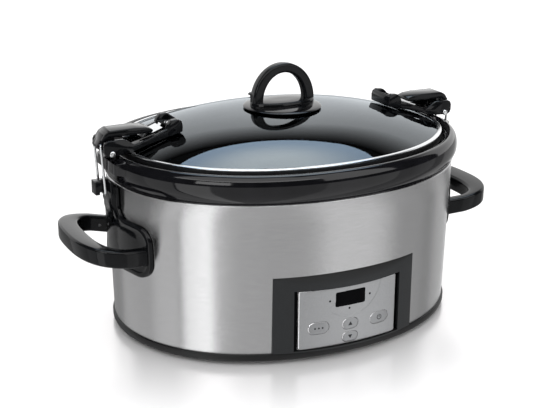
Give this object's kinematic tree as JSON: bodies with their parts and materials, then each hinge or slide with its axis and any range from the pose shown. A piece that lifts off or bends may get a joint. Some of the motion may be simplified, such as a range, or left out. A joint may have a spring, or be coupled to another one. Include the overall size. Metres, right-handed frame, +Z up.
{
  "type": "slow cooker",
  "caption": "Oval programmable slow cooker: brushed steel housing, black stoneware crock, domed glass lid with arch handle and side latches, loop handles and a front key panel.",
  "frame": {"origin": "centre of the footprint, on the table under the rubber feet", "axes": "+X along the long axis to the right-hand handle, +Y to the back, +Z up; the control panel faces -Y"},
  "size_m": [0.438, 0.2834, 0.2448],
  "materials": {
    "charcoal_plastic": "fine satin moulding",
    "bezel_plastic": "satin dark grey moulding",
    "black_plastic": "glossy black moulding",
    "foot_rubber": "matte black rubber",
    "screw_steel": "zinc plated steel",
    "wrap_steel": "steel with fine horizontal brushing",
    "well_metal": "grey enamelled pressing",
    "heater_metal": "foil-faced band heater",
    "board_green": "solder-masked board",
    "component_dark": "moulded component body",
    "component_yellow": "film capacitor body",
    "fuse_ceramic": "glazed sleeve with metal leads",
    "fascia_silver": "fine silver metallic paint",
    "button_silver": "satin silver cap with a dark symbol",
    "display_lens": "dark glossy lens",
    "crock_glaze": "black glossy glaze",
    "lid_glass": "clear tempered glass",
    "lid_band": "bright stainless rim",
    "seal_rubber": "black silicone",
    "hook_chrome": "bright plated steel"
  },
  "bodies": {
    "housing": {"base_tray": "charcoal_plastic", "rubber_feet": "foot_rubber", "base_screws": "screw_steel", "steel_wrap": "wrap_steel", "heating_well": "well_metal", "well_standoffs": "screw_steel", "heater_band": "heater_metal", "thermal_fuse": "fuse_ceramic", "thermistor": "screw_steel", "power_board": "board_green", "power_relay": "component_dark", "power_capacitor": "component_yellow", "control_bezel": "bezel_plastic", "panel_plate": "fascia_silver", "display_window": "display_lens", "display_module": "component_dark", "control_board": "board_green", "tact_switches": "component_dark", "board_screws": "screw_steel", "side_handle_left": "black_plastic", "side_handle_right": "black_plastic", "handle_screws_left": "screw_steel", "handle_screws_right": "screw_steel", "cord_gland": "foot_rubber"},
    "crock": {"stoneware_crock": "crock_glaze"},
    "lid": {"lid_glass": "lid_glass", "lid_rim_band": "lid_band", "lid_gasket": "seal_rubber", "lid_handle": "black_plastic", "lid_handle_screw": "screw_steel", "lid_handle_washer": "seal_rubber", "vent_grommet": "seal_rubber", "latch_bracket_left": "black_plastic", "latch_bracket_right": "black_plastic", "latch_fasteners_left": "hook_chrome", "latch_fasteners_right": "hook_chrome", "latch_pin_left": "hook_chrome", "latch_pin_right": "hook_chrome"},
    "lever_left": {"latch_lever_left": "black_plastic"},
    "lever_right": {"latch_lever_right": "black_plastic"},
    "bail_left": {"latch_bail_left": "hook_chrome"},
    "bail_right": {"latch_bail_right": "hook_chrome"},
    "select_key": {"select_button": "button_silver"},
    "power_key": {"power_button": "button_silver"},
    "up_key": {"up_button": "button_silver"},
    "down_key": {"down_button": "button_silver"}
  },
  "joints": [
    {"name": "crock_lift", "type": "slide", "parent": "housing", "child": "crock", "axis": [0, 0, 1], "range_m": [0, 0.15]},
    {"name": "lid_lift", "type": "slide", "parent": "crock", "child": "lid", "axis": [0, 0, 1], "range_m": [0, 0.12]},
    {"name": "lever_left_open", "type": "hinge", "parent": "lid", "child": "lever_left", "pos_m": [-0.177, 0, 0.181], "axis": [0, -1, 0], "range_deg": [0, 90]},
    {"name": "bail_left_swing", "type": "hinge", "parent": "lever_left", "child": "bail_left", "pos_m": [-0.1852, 0, 0.188], "axis": [0, -1, 0], "range_deg": [-99.2, 0]},
    {"name": "lever_right_open", "type": "hinge", "parent": "lid", "child": "lever_right", "pos_m": [0.177, 0, 0.181], "axis": [0, 1, 0], "range_deg": [0, 90]},
    {"name": "bail_right_swing", "type": "hinge", "parent": "lever_right", "child": "bail_right", "pos_m": [0.1852, 0, 0.188], "axis": [0, 1, 0], "range_deg": [-99.2, 0]},
    {"name": "select_press", "type": "slide", "parent": "housing", "child": "select_key", "axis": [0, 1, 0], "range_m": [0, 0.0008], "stiffness_N_per_m": 900},
    {"name": "power_press", "type": "slide", "parent": "housing", "child": "power_key", "axis": [0, 1, 0], "range_m": [0, 0.0008], "stiffness_N_per_m": 900},
    {"name": "up_press", "type": "slide", "parent": "housing", "child": "up_key", "axis": [0, 1, 0], "range_m": [0, 0.0008], "stiffness_N_per_m": 900},
    {"name": "down_press", "type": "slide", "parent": "housing", "child": "down_key", "axis": [0, 1, 0], "range_m": [0, 0.0008], "stiffness_N_per_m": 900}
  ],
  "couplings": [
    {"joint": "bail_left_swing", "follows": "lever_left_open", "ratio": -1.1},
    {"joint": "bail_right_swing", "follows": "lever_right_open", "ratio": -1.1}
  ]
}
